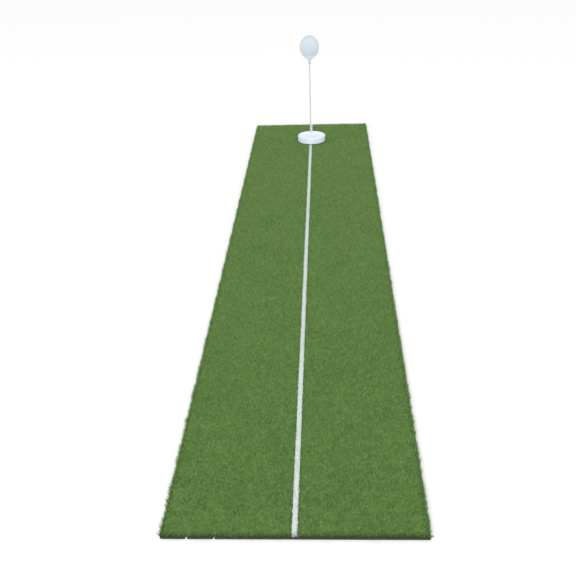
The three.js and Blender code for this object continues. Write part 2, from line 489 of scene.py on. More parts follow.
def mix_colour(tree, share, first, second, blend="MIX"):
    """The first colour, with the second laid over it by a share."""
    node = tree.nodes.new("ShaderNodeMix")
    node.data_type = "RGBA"
    node.blend_type = blend
    feed(tree, node.inputs[0], share)
    feed(tree, node.inputs[6], first)
    feed(tree, node.inputs[7], second)
    return node.outputs[2]


def build_fibre_tone():
    """Colour of a pile fibre: dark at its root, its own shade above, paler at its cut tip."""
    group, entry, leave = new_group(
        "fibre_tone",
        [
            ("Root", "NodeSocketColor", (0, 0, 0, 1)),
            ("Dark", "NodeSocketColor", (0, 0, 0, 1)),
            ("Light", "NodeSocketColor", (1, 1, 1, 1)),
            ("Shade", "NodeSocketFloat", 0.5),
            ("Rise", "NodeSocketFloat", 0.5),
            ("Place", "NodeSocketVector", (0, 0, 0)),
        ],
        [("Color", "NodeSocketColor"), ("Roughness", "NodeSocketFloat")],
    )
    place = entry.outputs["Place"]
    patches = noise(group, place, 9.0, 2.0)
    clumps = noise(group, place, 170.0, 1.5)
    shade = math_node(group, "ADD", entry.outputs["Shade"], spread(group, clumps, 0.3, 0.7, -0.1, 0.1))
    shade = math_node(group, "ADD", shade, spread(group, patches, 0.3, 0.7, -0.07, 0.07))
    blade = mix_colour(
        group,
        spread(group, shade, 0.0, 1.0),
        entry.outputs["Dark"],
        entry.outputs["Light"],
    )
    depth = spread(group, entry.outputs["Rise"], 0.3, 0.85)
    colour = mix_colour(group, depth, entry.outputs["Root"], blade)
    group.links.new(colour, leave.inputs["Color"])
    group.links.new(spread(group, shade, 0.0, 1.0, 0.62, 0.48), leave.inputs["Roughness"])
    return group


def build_moulded_grain():
    """Fine grain of a moulded or lacquered skin: a height, and faint unevenness of the finish."""
    group, entry, leave = new_group(
        "moulded_grain",
        [
            ("Place", "NodeSocketVector", (0, 0, 0)),
            ("Grain Scale", "NodeSocketFloat", 2500.0),
            ("Cloud Scale", "NodeSocketFloat", 40.0),
        ],
        [("Height", "NodeSocketFloat"), ("Cloud", "NodeSocketFloat"), ("Marks", "NodeSocketFloat")],
    )
    place = entry.outputs["Place"]
    grain = group.nodes.new("ShaderNodeTexNoise")
    grain.inputs["Detail"].default_value = 1.0
    group.links.new(place, grain.inputs["Vector"])
    group.links.new(entry.outputs["Grain Scale"], grain.inputs["Scale"])
    cloud = group.nodes.new("ShaderNodeTexNoise")
    cloud.inputs["Detail"].default_value = 4.0
    group.links.new(place, cloud.inputs["Vector"])
    group.links.new(entry.outputs["Cloud Scale"], cloud.inputs["Scale"])
    stretched = group.nodes.new("ShaderNodeMapping")
    stretched.inputs["Rotation"].default_value = (0.4, 0.7, 0.3)
    stretched.inputs["Scale"].default_value = (1.0, 0.03, 0.2)
    group.links.new(place, stretched.inputs["Vector"])
    scuffs = noise(group, stretched.outputs["Vector"], 700.0, 1.0)
    lines = spread(group, scuffs, 0.68, 0.74)
    lines = math_node(group, "MULTIPLY", lines, spread(group, cloud.outputs["Fac"], 0.5, 0.7))
    group.links.new(grain.outputs["Fac"], leave.inputs["Height"])
    group.links.new(cloud.outputs["Fac"], leave.inputs["Cloud"])
    group.links.new(lines, leave.inputs["Marks"])
    return group


# ---- Materials ----


def shared_group(name, build):
    """The node group of this name, built if it is not there yet."""
    return bpy.data.node_groups.get(name) or build()


def place_group(tree, group, **values):
    """Puts a node group in a material and sets its inputs by name."""
    node = tree.nodes.new("ShaderNodeGroup")
    node.node_tree = group
    for label, value in values.items():
        feed(tree, node.inputs[label.replace("_", " ")], value)
    return node


def new_material(name):
    """A new material, with its tree, its shader and the piece's own coordinates."""
    surface = bpy.data.materials.new(name)
    surface.use_nodes = True
    tree = surface.node_tree
    shader = tree.nodes["Principled BSDF"]
    coordinates = tree.nodes.new("ShaderNodeTexCoord")
    return surface, tree, shader, coordinates.outputs["Object"]


def add_bump(tree, shader, height, distance):
    """Lets a height raise and lower the surface of a material."""
    bump = tree.nodes.new("ShaderNodeBump")
    bump.inputs["Distance"].default_value = distance
    bump.inputs["Strength"].default_value = 1.0
    tree.links.new(height, bump.inputs["Height"])
    tree.links.new(bump.outputs["Normal"], shader.inputs["Normal"])


def fibre_material(name, root, dark, light, edge_shade=0.8):
    """Plastic pile tape, with painted shade low down along the mat's cut edges.

    The blade's own shade is stored on the mesh.
    """
    surface, tree, shader, place = new_material(name)
    shade = tree.nodes.new("ShaderNodeAttribute")
    shade.attribute_name = "shade"
    parts = tree.nodes.new("ShaderNodeSeparateXYZ")
    tree.links.new(place, parts.inputs["Vector"])
    rise = spread(tree, parts.outputs["Z"], PILE_FLOOR, PILE_TOP)
    tone = place_group(
        tree,
        shared_group("fibre_tone", build_fibre_tone),
        Root=tuple(root),
        Dark=tuple(dark),
        Light=tuple(light),
        Shade=shade.outputs["Fac"],
        Rise=rise,
        Place=place,
    )
    # Painted shade: within 8 mm of the cut edges, most at the two ends, the pile is darkened towards its
    # foot.
    edges = []
    for axis, half, amount in (("X", HALF_WIDTH, 0.3), ("Y", HALF_LENGTH, 1.0)):
        away = math_node(tree, "ABSOLUTE", parts.outputs[axis], 0.0)
        edges.append(spread(tree, away, half - 8 * MM, half - 1 * MM, 0.0, amount))
    edge_shading = math_node(tree, "MAXIMUM", *edges)
    edge_shading = math_node(tree, "MULTIPLY", edge_shading, spread(tree, rise, 0.2, 1.1, edge_shade, 0.2 * edge_shade))
    colour = mix_colour(tree, edge_shading, tone.outputs["Color"], srgb(108, 104, 108), "MULTIPLY")
    tree.links.new(colour, shader.inputs["Base Color"])
    tree.links.new(tone.outputs["Roughness"], shader.inputs["Roughness"])
    shader.inputs["Specular IOR Level"].default_value = 0.35
    return surface


def moulded_material(name, colour, roughness, grain=2500.0, bump=0.02 * MM, mark=0.12, coat=0.0):
    """Moulded or lacquered plastic and metal, with fine grain, faint clouding and light marks."""
    surface, tree, shader, place = new_material(name)
    grained = place_group(
        tree,
        shared_group("moulded_grain", build_moulded_grain),
        Place=place,
        Grain_Scale=grain,
        Cloud_Scale=35.0,
    )
    darker = scaled(colour, 0.93)
    base = mix_colour(tree, spread(tree, grained.outputs["Cloud"], 0.3, 0.7), darker, tuple(colour))
    marked = scaled(colour, 1 - mark)
    base = mix_colour(tree, grained.outputs["Marks"], base, marked)
    tree.links.new(base, shader.inputs["Base Color"])
    finish = spread(tree, grained.outputs["Cloud"], 0.3, 0.7, roughness * 0.88, roughness * 1.12)
    finish = math_node(tree, "ADD", finish, math_node(tree, "MULTIPLY", grained.outputs["Marks"], 0.15))
    tree.links.new(finish, shader.inputs["Roughness"])
    shader.inputs["Coat Weight"].default_value = coat
    shader.inputs["Coat Roughness"].default_value = 0.25
    add_bump(tree, shader, grained.outputs["Height"], bump)
    return surface


def rubber_material(name, colour):
    """Dull rubber with a fine pebbled skin and pale dust in its hollows."""
    surface, tree, shader, place = new_material(name)
    pebbles = tree.nodes.new("ShaderNodeTexVoronoi")
    pebbles.feature = "SMOOTH_F1"
    pebbles.inputs["Scale"].default_value = 700.0
    tree.links.new(place, pebbles.inputs["Vector"])
    height = spread(tree, pebbles.outputs["Distance"], 0.1, 0.7, 1.0, 0.0)
    clouds = noise(tree, place, 25.0, 4.0)
    dusty = tuple(min(1.0, channel * 1.5 + 0.02) for channel in colour)
    hollow = math_node(tree, "MULTIPLY", spread(tree, height, 0.0, 0.6, 1.0, 0.0), clouds)
    base = mix_colour(tree, spread(tree, hollow, 0.1, 0.6, 0.0, 0.7), tuple(colour), dusty)
    tree.links.new(base, shader.inputs["Base Color"])
    tree.links.new(spread(tree, clouds, 0.3, 0.7, 0.78, 0.95), shader.inputs["Roughness"])
    add_bump(tree, shader, height, 0.15 * MM)
    return surface


def weave_material(name, colour):
    """Plain cloth of flat tapes, one over and one under."""
    surface, tree, shader, place = new_material(name)
    parts = tree.nodes.new("ShaderNodeSeparateXYZ")
    tree.links.new(place, parts.inputs["Vector"])
    tape = 2.1 * MM
    across = math_node(tree, "SINE", math_node(tree, "MULTIPLY", parts.outputs["X"], math.pi / tape), 0.0)
    along = math_node(tree, "SINE", math_node(tree, "MULTIPLY", parts.outputs["Y"], math.pi / tape), 0.0)
    height = math_node(tree, "MULTIPLY", across, along)
    # Painted shade where the tapes dip under each other, and painted highlight on their crowns, besides
    # the bump.
    tone = mix_colour(
        tree,
        spread(tree, height, -1.0, 1.0),
        scaled(colour, 0.72),
        scaled(colour, 1.15),
    )
    speck = noise(tree, place, 900.0, 2.0)
    tone = mix_colour(tree, spread(tree, speck, 0.35, 0.65, 0.0, 0.35), tone, scaled(colour, 0.5))
    tree.links.new(tone, shader.inputs["Base Color"])
    shader.inputs["Roughness"].default_value = 0.8
    add_bump(tree, shader, height, 0.3 * MM)
    return surface


# ---- Pile blades ----

# Where a blade bends, as a share of its height.
WAIST = 0.5
# How far the pile leans towards the cup.
NAP = 0.9 * MM


def blade_shape(bent=True):
    """One blade of unit height and width: three sides, a waist to bend at, and a closed foot.

    Gives its corners, its triangles and the place of each triangle corner in the blade's own
    cell of the bake map.
    """
    deselect()
    bpy.ops.mesh.primitive_cone_add(vertices=3, radius1=0.5, radius2=0.0, depth=1.0, location=(0, 0, 0.5))
    blade = bpy.context.object
    settle(blade)
    bpy.ops.object.mode_set(mode="EDIT")
    bpy.ops.mesh.select_all(action="SELECT")
    if bent:
        bpy.ops.mesh.bisect(plane_co=(0, 0, WAIST), plane_no=(0, 0, 1))
        bpy.ops.transform.resize(value=(1.55, 1.55, 1.0))
        bpy.ops.mesh.select_all(action="SELECT")
    bpy.ops.mesh.quads_convert_to_tris()
    bpy.ops.mesh.normals_make_consistent(inside=False)
    bpy.ops.object.mode_set(mode="OBJECT")
    mesh = blade.data
    corners = np.array([vertex.co[:] for vertex in mesh.vertices])
    triangles = np.array([face.vertices[:] for face in mesh.polygons])
    cell = np.zeros((len(triangles), 3, 2))
    first = math.atan2(*corners[triangles[0][0]][1::-1])
    for index, face in enumerate(mesh.polygons):
        if face.normal.z < -0.9:
            cell[index] = ((0.1, 0.02), (0.9, 0.02), (0.5, 0.12))
            continue
        turn = math.atan2(face.normal.y, face.normal.x) - first
        side = int(round((turn / TURN * 6 - 1) / 2)) % 3
        for corner, vertex in enumerate(face.vertices):
            place = corners[vertex]
            if place[2] > 0.99:
                u = (side + 0.5) / 3
            else:
                reach = math.atan2(place[1], place[0]) - math.atan2(face.normal.y, face.normal.x)
                u = (side + (1 if math.sin(reach) > 0 else 0)) / 3
            cell[index, corner] = (u, 0.16 + 0.84 * place[2])
    bpy.data.objects.remove(blade, do_unlink=True)
    return corners, triangles, cell


def blade_mesh(name, foot, height, width, lean, bend, turn, shade, shape):
    """Many blades as one mesh.

    foot holds each blade's foot, lean and bend its sideways run at the tip and the part of it
    that comes after the waist, and turn its own turn about its axis. Each blade has its own cell
    of the bake map.
    """
    corners, triangles, cell = shape
    count = len(foot)
    cosine, sine = np.cos(turn)[:, None], np.sin(turn)[:, None]
    x = (corners[:, 0] * cosine - corners[:, 1] * sine) * width[:, None]
    y = (corners[:, 0] * sine + corners[:, 1] * cosine) * width[:, None]
    rise = corners[:, 2][None, :]
    run = rise * (1 - bend[:, None]) + np.maximum(0, rise - WAIST) / (1 - WAIST) * bend[:, None]
    points = np.empty((count, len(corners), 3), np.float32)
    points[:, :, 0] = foot[:, 0:1] + x + lean[:, 0:1] * run
    points[:, :, 1] = foot[:, 1:2] + y + lean[:, 1:2] * run
    points[:, :, 2] = foot[:, 2:3] + rise * height[:, None]
    faces = (triangles[None] + (np.arange(count) * len(corners))[:, None, None]).reshape(-1, 3)
    columns = math.ceil(math.sqrt(count))
    rows = math.ceil(count / columns)
    margin = 0.06
    size = np.array([1 / columns, 1 / rows])
    start = np.stack([np.arange(count) % columns, np.arange(count) // columns], axis=1) * size
    inner = margin / 2 + cell * (1 - margin)
    places = start[:, None, None, :] + inner[None] * size
    mesh = bpy.data.meshes.new(name)
    mesh.vertices.add(points.shape[0] * points.shape[1])
    mesh.vertices.foreach_set("co", points.ravel())
    mesh.loops.add(faces.size)
    mesh.loops.foreach_set("vertex_index", faces.ravel().astype(np.int32))
    mesh.polygons.add(len(faces))
    mesh.polygons.foreach_set("loop_start", (np.arange(len(faces)) * 3).astype(np.int32))
    mesh.update(calc_edges=True)
    layer = mesh.uv_layers.new(name="OFBake")
    layer.data.foreach_set("uv", places.astype(np.float32).ravel())
    tone = mesh.attributes.new("shade", "FLOAT", "POINT")
    tone.data.foreach_set("value", np.repeat(shade, len(corners)).astype(np.float32))
    mesh.validate()
    return linked(name, mesh)


def tuft_blades(random, left, right, front, back, columns, rows, blades, width, splay, nap):
    """Feet, sizes and leans of all blades of the tufts in a rectangle of the mat."""
    pitch_x = (right - left) / columns
    pitch_y = (back - front) / rows
    column, row = np.meshgrid(np.arange(columns), np.arange(rows), indexing="ij")
    column, row = column.ravel(), row.ravel()
    count = len(column)
    stagger = (column % 2) * 0.5 - 0.25
    x = left + (column + 0.5 + random.uniform(-0.16, 0.16, count)) * pitch_x
    y = front + (row + 0.5 + stagger + random.uniform(-0.2, 0.2, count)) * pitch_y
    tuft_turn = random.uniform(0, TURN, count)
    tuft_shade = random.normal(0.5, 0.28, count)
    tuft_height = random.normal(0, 0.35 * MM, count)
    tuft_lean = random.normal(0, 0.8 * MM, (count, 2))
    spoke = np.arange(blades)[None, :] / blades * TURN
    angle = tuft_turn[:, None] + spoke + random.uniform(-0.5, 0.5, (count, blades))
    reach = random.uniform(0.35, 1.0, (count, blades)) * splay
    out = np.stack([np.cos(angle), np.sin(angle)], axis=-1)
    lean = out * reach[..., None] + tuft_lean[:, None, :] + np.array([0, nap])
    foot = np.stack([x, y], axis=-1)[:, None, :] + out * 0.7 * MM
    height = random.normal(PILE_TOP - PILE_FLOOR, 0.75 * MM, (count, blades)) + tuft_height[:, None]
    sizes = width * random.uniform(0.8, 1.2, (count, blades))
    shade = random.normal(0, 0.6, (count, blades)) + tuft_shade[:, None]
    flat = foot.reshape(-1, 2)
    return {
        "foot": np.column_stack([flat, np.full(len(flat), PILE_FLOOR)]),
        "height": height.ravel(),
        "width": sizes.ravel(),
        "lean": lean.reshape(-1, 2),
        "bend": random.uniform(0.1, 0.7, len(flat)),
        "turn": random.uniform(0, TURN, len(flat)),
        "shade": shade.ravel(),
    }


def edged_patches(left, right, front, back, columns, rows, outer=None):
    """A planted rectangle, and the extra rows of tufts that hold its ends and outer sides."""
    band = 3.5 * MM
    patches = [(left, right, front, back, columns, rows)]
    patches.append((left, right, front, front + band, columns, 1))
    patches.append((left, right, back - band, back, columns, 1))
    if outer == "left":
        patches.append((left, left + band, front, back, 1, rows))
    if outer == "right":
        patches.append((right - band, right, front, back, 1, rows))
    return patches


def planted(random, patches, blades, width, splay, nap):
    """The blades of several rectangles of tufts as one set."""
    sets = [tuft_blades(random, *patch, blades, width, splay, nap) for patch in patches]
    return {name: np.concatenate([part[name] for part in sets]) for name in sets[0]}


def spread_the_edges(blades):
    """Leans the outer blades out over the backing's edges, in uneven clumps along them.

    The blades near the two ends also get painted shade in the same clumps, which mostly darkens them.
    """
    reach = 10 * MM
    lean, sway = 3.2, 1.1
    darkening, patchiness = 0.5, 0.25
    for axis, half in enumerate((HALF_WIDTH, HALF_LENGTH)):
        outward = np.sign(blades["foot"][:, axis])
        along = blades["foot"][:, 1 - axis] / MM
        clumps = np.sin(along * 0.37 + outward) + np.sin(along * 0.153) + np.sin(along * 0.061)
        share = np.clip(1 - (half - np.abs(blades["foot"][:, axis])) / reach, 0, 1)
        blades["lean"][:, axis] += outward * share * (lean + sway * clumps) * MM
        # Painted shade: near the two ends the blades' tone is lowered in clumps.
        if half == HALF_LENGTH:
            blades["shade"] = blades["shade"] - share * (darkening - patchiness * clumps)


def press_under_cup(blades):
    """Shortens the blades that the cup stands on, so that they end just under it."""
    tip = blades["foot"][:, :2] + blades["lean"]
    away = np.minimum(
        np.linalg.norm(tip - np.array(CUP_CENTRE[:2]), axis=1),
        np.linalg.norm(blades["foot"][:, :2] - np.array(CUP_CENTRE[:2]), axis=1),
    )
    clear = 0.3 * MM
    margin = 1.5 * MM
    limit = RING_LOW[2] - clear - PILE_FLOOR
    under = away < CUP_RADIUS + margin
    blades["height"] = np.where(under, np.minimum(blades["height"], limit), blades["height"])


def keep_off_nicks(blades):
    """Leaves out the blades that stand in the small cuts of the near edge."""
    clear = 1.8 * MM
    past_tip = 1.1
    x, y = blades["foot"][:, 0], blades["foot"][:, 1]
    keep = np.ones(len(x), bool)
    for centre, half, depth in NICKS:
        inward = (y + HALF_LENGTH) / depth
        reach = half * np.clip(1 - inward, 0, None) + clear
        keep &= ~((np.abs(x - centre) < reach) & (inward < past_tip))
    return {name: values[keep] for name, values in blades.items()}


def cut_nicks(piece):
    """Cuts the small nicks into the near edge, with wedges that reach past it on all sides."""
    past = 2.0
    foot, height = -5 * MM, 30 * MM
    for centre, half, depth in NICKS:
        outside = -HALF_LENGTH - depth * (past - 1)
        wedge = [
            (centre - half * past, outside, foot),
            (centre + half * past, outside, foot),
            (centre, -HALF_LENGTH + depth, foot),
        ]
        combine(piece, extruded("nick", wedge, (0, 0, height)), "DIFFERENCE")


# ---- Mat ----


def rounded_slab(name, low, high, corner):
    """A flat slab with rounded corners."""
    steps = 6
    points = []
    corners = [
        (high[0] - corner, high[1] - corner, 0),
        (low[0] + corner, high[1] - corner, 90),
        (low[0] + corner, low[1] + corner, 180),
        (high[0] - corner, low[1] + corner, 270),
    ]
    for x, y, start in corners:
        points += [(px, py, low[2]) for px, py in rounded((x, y), corner, start, start + 90, steps)]
    return extruded(name, points, (0, 0, high[2] - low[2]))


class PUTTINGMAT_OT_backing(bpy.types.Operator):
    """Builds the rubber layer, the woven cloth on it and the cloth's frayed ends"""

    bl_idname = "putting_mat.backing"
    bl_label = "Backing"

    def execute(self, context):
        settings = context.scene.putting_backing
        rubber = rounded_slab("rubber_layer", RUBBER_LOW, RUBBER_HIGH, settings.corner)
        cut_nicks(rubber)
        bevelled(rubber, 0.5 * MM, 3)
        smooth(rubber)
        finish_piece(
            rubber,
            "mat",
            "backing_rubber",
            rubber_material("rubber_skin", settings.rubber),
            "rubber_backing",
        )

        inset = 0.8 * MM
        low = Vector((WEAVE_LOW[0] + inset, WEAVE_LOW[1] + inset, WEAVE_LOW[2]))
        high = Vector((WEAVE_HIGH[0] - inset, WEAVE_HIGH[1] - inset, WEAVE_HIGH[2]))
        cloth = rounded_slab("woven_cloth", low, high, settings.corner)
        cut_nicks(cloth)
        self.wander(cloth, high, settings.edge_wave)
        finish_piece(
            cloth,
            "mat",
            "backing_weave",
            weave_material("tape_cloth", settings.cloth),
            "woven_backing",
        )

        self.fray(settings)
        return {"FINISHED"}

    def wander(self, cloth, high, wave):
        """Splits the cloth's long edges and lets them wander inwards, as a cut by hand does."""
        long_edge = 20 * MM
        near = 0.1 * MM
        pick(cloth)
        bpy.ops.object.mode_set(mode="EDIT")
        bpy.ops.mesh.select_all(action="DESELECT")
        bpy.ops.object.mode_set(mode="OBJECT")
        for edge in cloth.data.edges:
            ends = [cloth.data.vertices[index].co for index in edge.vertices]
            edge.select = (ends[0] - ends[1]).length > long_edge
        bpy.ops.object.mode_set(mode="EDIT")
        bpy.ops.mesh.select_mode(type="EDGE")
        bpy.ops.mesh.subdivide(number_cuts=90)
        bpy.ops.object.mode_set(mode="OBJECT")
        for vertex in cloth.data.vertices:
            place = (vertex.co.x + vertex.co.y) / MM
            ripple = math.sin(place * 0.19) * 0.4 + math.sin(place * 1.3) * 0.2
            inward = wave * (0.5 + ripple)
            if abs(vertex.co.x) > high[0] - near:
                vertex.co.x -= math.copysign(inward, vertex.co.x)
            if abs(vertex.co.y) > high[1] - near:
                vertex.co.y -= math.copysign(inward, vertex.co.y)

    def fray(self, settings):
        """Cut tape ends that stick out of the cloth along all four edges."""
        random = np.random.default_rng(23)
        spacing = 3.4 * MM
        corner_gap = 5 * MM
        rooted = 1.8 * MM
        middle = (WEAVE_LOW[2] + WEAVE_HIGH[2]) / 2
        feet, leans = [], []
        for length, other, way in (
            (HALF_LENGTH, HALF_WIDTH, (1, 0)),
            (HALF_LENGTH, HALF_WIDTH, (-1, 0)),
            (HALF_WIDTH, HALF_LENGTH, (0, 1)),
            (HALF_WIDTH, HALF_LENGTH, (0, -1)),
        ):
            count = int(2 * (length - corner_gap) / spacing)
            along = np.linspace(-length + corner_gap, length - corner_gap, count)
            along = along + random.uniform(-0.4, 0.4, count) * spacing
            out = random.gamma(1.6, 0.55 * MM, count) + 1.0 * MM
            slip = random.normal(0, 0.5 * MM, count)
            edge = other - rooted
            if way[0]:
                feet.append(np.column_stack([np.full(count, edge * way[0]), along]))
                leans.append(np.column_stack([out * way[0], slip]))
            else:
                feet.append(np.column_stack([along, np.full(count, edge * way[1])]))
                leans.append(np.column_stack([slip, out * way[1]]))
        feet, leans = np.concatenate(feet), np.concatenate(leans)
        count = len(feet)
        fray = blade_mesh(
            "frayed_ends",
            np.column_stack([feet, np.full(count, middle)]),
            random.uniform(0.3 * MM, 2.4 * MM, count),
            random.uniform(0.7 * MM, 1.2 * MM, count),
            leans,
            random.uniform(0, 0.3, count),
            random.uniform(0, TURN, count),
            random.uniform(0, 1, count),
            blade_shape(),
        )
        dark = scaled(settings.fray, 0.7)
        finish_piece(
            fray,
            "mat",
            "backing_weave",
            fibre_material("frayed_tape", dark, dark, tuple(settings.fray), 0.0),
            "woven_backing",
        )


def pile_bed(name, left, right, height, random):
    """The dense roots of the pile between the tufts, as one low uneven pad."""
    pitch = 8.0 * MM
    columns = max(2, round((right - left) / pitch))
    rows = round(2 * HALF_LENGTH / pitch)
    end_gap = 3.6 * MM
    front, back = -HALF_LENGTH + end_gap, HALF_LENGTH - end_gap
    near = 0.1 * MM
    rim_drop = 1.6 * MM
    dip, rise, shift = 0.9 * MM, 1.1 * MM, 1.1 * MM
    deselect()
    bpy.ops.mesh.primitive_grid_add(x_subdivisions=columns, y_subdivisions=rows, size=1.0)
    bed = bpy.context.object
    bed.name = name
    bed.location = ((left + right) / 2, (front + back) / 2, PILE_FLOOR)
    bed.scale = (right - left, back - front, 1.0)
    settle(bed)
    push_out(bed, (0, 0, height))
    mesh = bed.data
    places = np.empty(len(mesh.vertices) * 3, np.float32)
    mesh.vertices.foreach_get("co", places)
    places = places.reshape(-1, 3)
    top = places[:, 2] > PILE_FLOOR + 1 * MM
    inner = top & (places[:, 0] > left + near) & (places[:, 0] < right - near)
    inner &= (places[:, 1] > front + near) & (places[:, 1] < back - near)
    places[inner, 2] += random.uniform(-dip, rise, inner.sum())
    places[inner, :2] += random.uniform(-shift, shift, (inner.sum(), 2))
    places[top & ~inner, 2] -= rim_drop
    mesh.vertices.foreach_set("co", places.ravel())
    mesh.update()
    return bed


class PUTTINGMAT_OT_turf(bpy.types.Operator):
    """Builds the green tufts on both sides of the line, and the dense roots under them"""

    bl_idname = "putting_mat.turf"
    bl_label = "Green turf"

    def execute(self, context):
        settings = context.scene.putting_turf
        surface = fibre_material("green_tape", settings.root, settings.dark, settings.light)
        shape = blade_shape(bent=False)
        strips = 5
        side_width = HALF_WIDTH - HALF_LINE - BARE_EDGE
        columns = round(side_width / strips / settings.row_gauge)
        rows = round(2 * (HALF_LENGTH - BARE_EDGE) / settings.stitch)
        bed_height = 3.4 * MM
        bed_gap = 2.4 * MM
        splay = 3.2 * MM
        seed = 100
        for outer, node in (("left", "turf_left"), ("right", "turf_right")):
            left = -HALF_WIDTH + BARE_EDGE if outer == "left" else HALF_LINE
            outer_strip = 0 if outer == "left" else strips - 1
            for strip in range(strips):
                seed += 1
                patches = edged_patches(
                    left + side_width * strip / strips,
                    left + side_width * (strip + 1) / strips,
                    -HALF_LENGTH + BARE_EDGE,
                    HALF_LENGTH - BARE_EDGE,
                    columns,
                    rows,
                    outer if strip == outer_strip else None,
                )
                blades = planted(
                    np.random.default_rng(seed),
                    patches,
                    settings.blades,
                    settings.blade_width,
                    splay,
                    NAP,
                )
                blades = keep_off_nicks(blades)
                spread_the_edges(blades)
                press_under_cup(blades)
                name = f"{node.replace('turf', 'tufts')}_{strip + 1}"
                tufts = blade_mesh(name, shape=shape, **blades)
                finish_piece(tufts, "mat", "green_pile", surface, node)
            bed = pile_bed(
                node.replace("turf", "roots"),
                left + (bed_gap if outer == "left" else 0),
                left + side_width - (bed_gap if outer == "right" else 0),
                bed_height,
                np.random.default_rng(seed + 50),
            )
            if outer == "left":
                cut_nicks(bed)
            finish_piece(bed, "mat", "green_pile", surface, node)
        return {"FINISHED"}


class PUTTINGMAT_OT_line(bpy.types.Operator):
    """Builds the white tufts of the aiming line"""

    bl_idname = "putting_mat.line"
    bl_label = "Aiming line"

    def execute(self, context):
        settings = context.scene.putting_turf
        white = tuple(settings.white)
        surface = fibre_material("white_tape", scaled(white, 0.92), scaled(white, 0.9), white)
        ends = HALF_LENGTH - BARE_EDGE
        stitch = 4.4 * MM
        splay = 3.3 * MM
        bed_height = 4.8 * MM
        rows = round(2 * HALF_LENGTH / stitch)
        blades = planted(
            np.random.default_rng(77),
            edged_patches(-HALF_LINE, HALF_LINE, -ends, ends, 2, rows),
            8,
            settings.blade_width,
            splay,
            NAP,
        )
        spread_the_edges(blades)
        press_under_cup(blades)
        tufts = blade_mesh("line_tufts", shape=blade_shape(), **blades)
        finish_piece(tufts, "mat", "white_pile", surface, "line_pile")
        bed = pile_bed("line_roots", -HALF_LINE, HALF_LINE, bed_height, np.random.default_rng(78))
        finish_piece(bed, "mat", "white_pile", surface, "line_pile")
        return {"FINISHED"}


# ---- Cup ----


def cup_profile():
    """The shell's section, from the axis under the dish, round the skirt and rim, to the axis."""
    wall = 2.2 * MM
    height = CUP_HIGH[2] - RING_LOW[2]
    foot = CUP_LOW[2] - RING_LOW[2]
    rim_inner = CUP_RADIUS - 4 * MM
    slope = 12 * MM
    depth = 8 * MM
    floor = height - depth
    points = [(0.0, floor - wall), (rim_inner - slope - wall / 2, floor - wall)]
    inner = CUP_RADIUS - wall
    fillet = 0.8 * MM
    chamfer = 0.5 * MM
    edge = 0.7 * MM
    lip = 2.6 * MM
    points += [(rim_inner - wall / 2, height - wall), (inner - fillet, height - wall)]
    points += rounded((inner - fillet, height - wall - fillet), fillet, 90, 0, 3)[1:]
    points += [(inner, foot + chamfer), (inner + chamfer, foot)]
    points += rounded((CUP_RADIUS - edge, foot + edge), edge, -90, 0)
    points += rounded((CUP_RADIUS - lip, height - lip), lip, 0, 90, 8)
    steps = 24
    for index in range(steps + 1):
        share = index / steps
        fall = (1 - math.cos(share * math.pi)) / 2
        points.append((rim_inner - slope * share, height - depth * fall))
    for radius in (30 * MM, 20 * MM, 10 * MM, 0.0):
        points.append((radius, floor))
    return points


class PUTTINGMAT_OT_cup(bpy.types.Operator):
    """Builds the cup's shell with its ribs and the flag's socket"""

    bl_idname = "putting_mat.cup"
    bl_label = "Cup"

    def execute(self, context):
        settings = context.scene.putting_cup
        cup = turned("putting_cup", cup_profile(), CUP_CENTRE, settings.steps)
        base = CUP_CENTRE[2]
        aside = ROD_AXIS - CUP_CENTRE
        towards_flag = math.atan2(aside.y, aside.x)
        ribs = 4
        hub_radius, boss_radius, mouth_radius, bore_radius = 7 * MM, 6.3 * MM, 5.9 * MM, 4.7 * MM
        for index in range(ribs):
            rib = self.rib(towards_flag + math.radians((index + 0.5) * 180 / ribs))
            combine(cup, rib, "UNION", "MANIFOLD")
        hub = cylinder("hub", CUP_CENTRE, hub_radius, base + 3.3 * MM, base + 13.8 * MM, 48)
        combine(cup, hub, "UNION", "MANIFOLD")
        boss_top = base + 21 * MM
        cut_top = boss_top + 8 * MM
        boss = cylinder("boss", ROD_AXIS, boss_radius, CUP_LOW[2], boss_top)
        combine(cup, boss, "UNION", "MANIFOLD")
        mouth = cylinder("mouth", ROD_AXIS, mouth_radius, boss_top, cut_top)
        combine(cup, mouth, "DIFFERENCE", "MANIFOLD")
        under_bush = 0.3 * MM
        bore = cylinder("bore", ROD_AXIS, bore_radius, BUSH_LOW[2] - under_bush, cut_top)
        combine(cup, bore, "DIFFERENCE", "MANIFOLD")
        smooth(cup, 32)
        finish_piece(
            cup,
            "cup",
            "cup_plastic",
            moulded_material("cup_skin", settings.plastic, 0.42),
            "cup_dish",
        )
        return {"FINISHED"}

    def rib(self, angle):
        """One stiffening bar right across the underside."""
        half = [
            (53 * MM, 3.3 * MM),
            (53 * MM, 21.5 * MM),
            (49.5 * MM, 21.5 * MM),
            (38 * MM, 13.6 * MM),
        ]
        outline = half + [(-radius, height) for radius, height in reversed(half)]
        along = Vector((math.cos(angle), math.sin(angle), 0))
        across = Vector((-math.sin(angle), math.cos(angle), 0)) * 0.9 * MM
        points = [
            CUP_CENTRE + along * radius + Vector((0, 0, height)) - across for radius, height in outline
        ]
        return extruded("rib", points, across * 2)


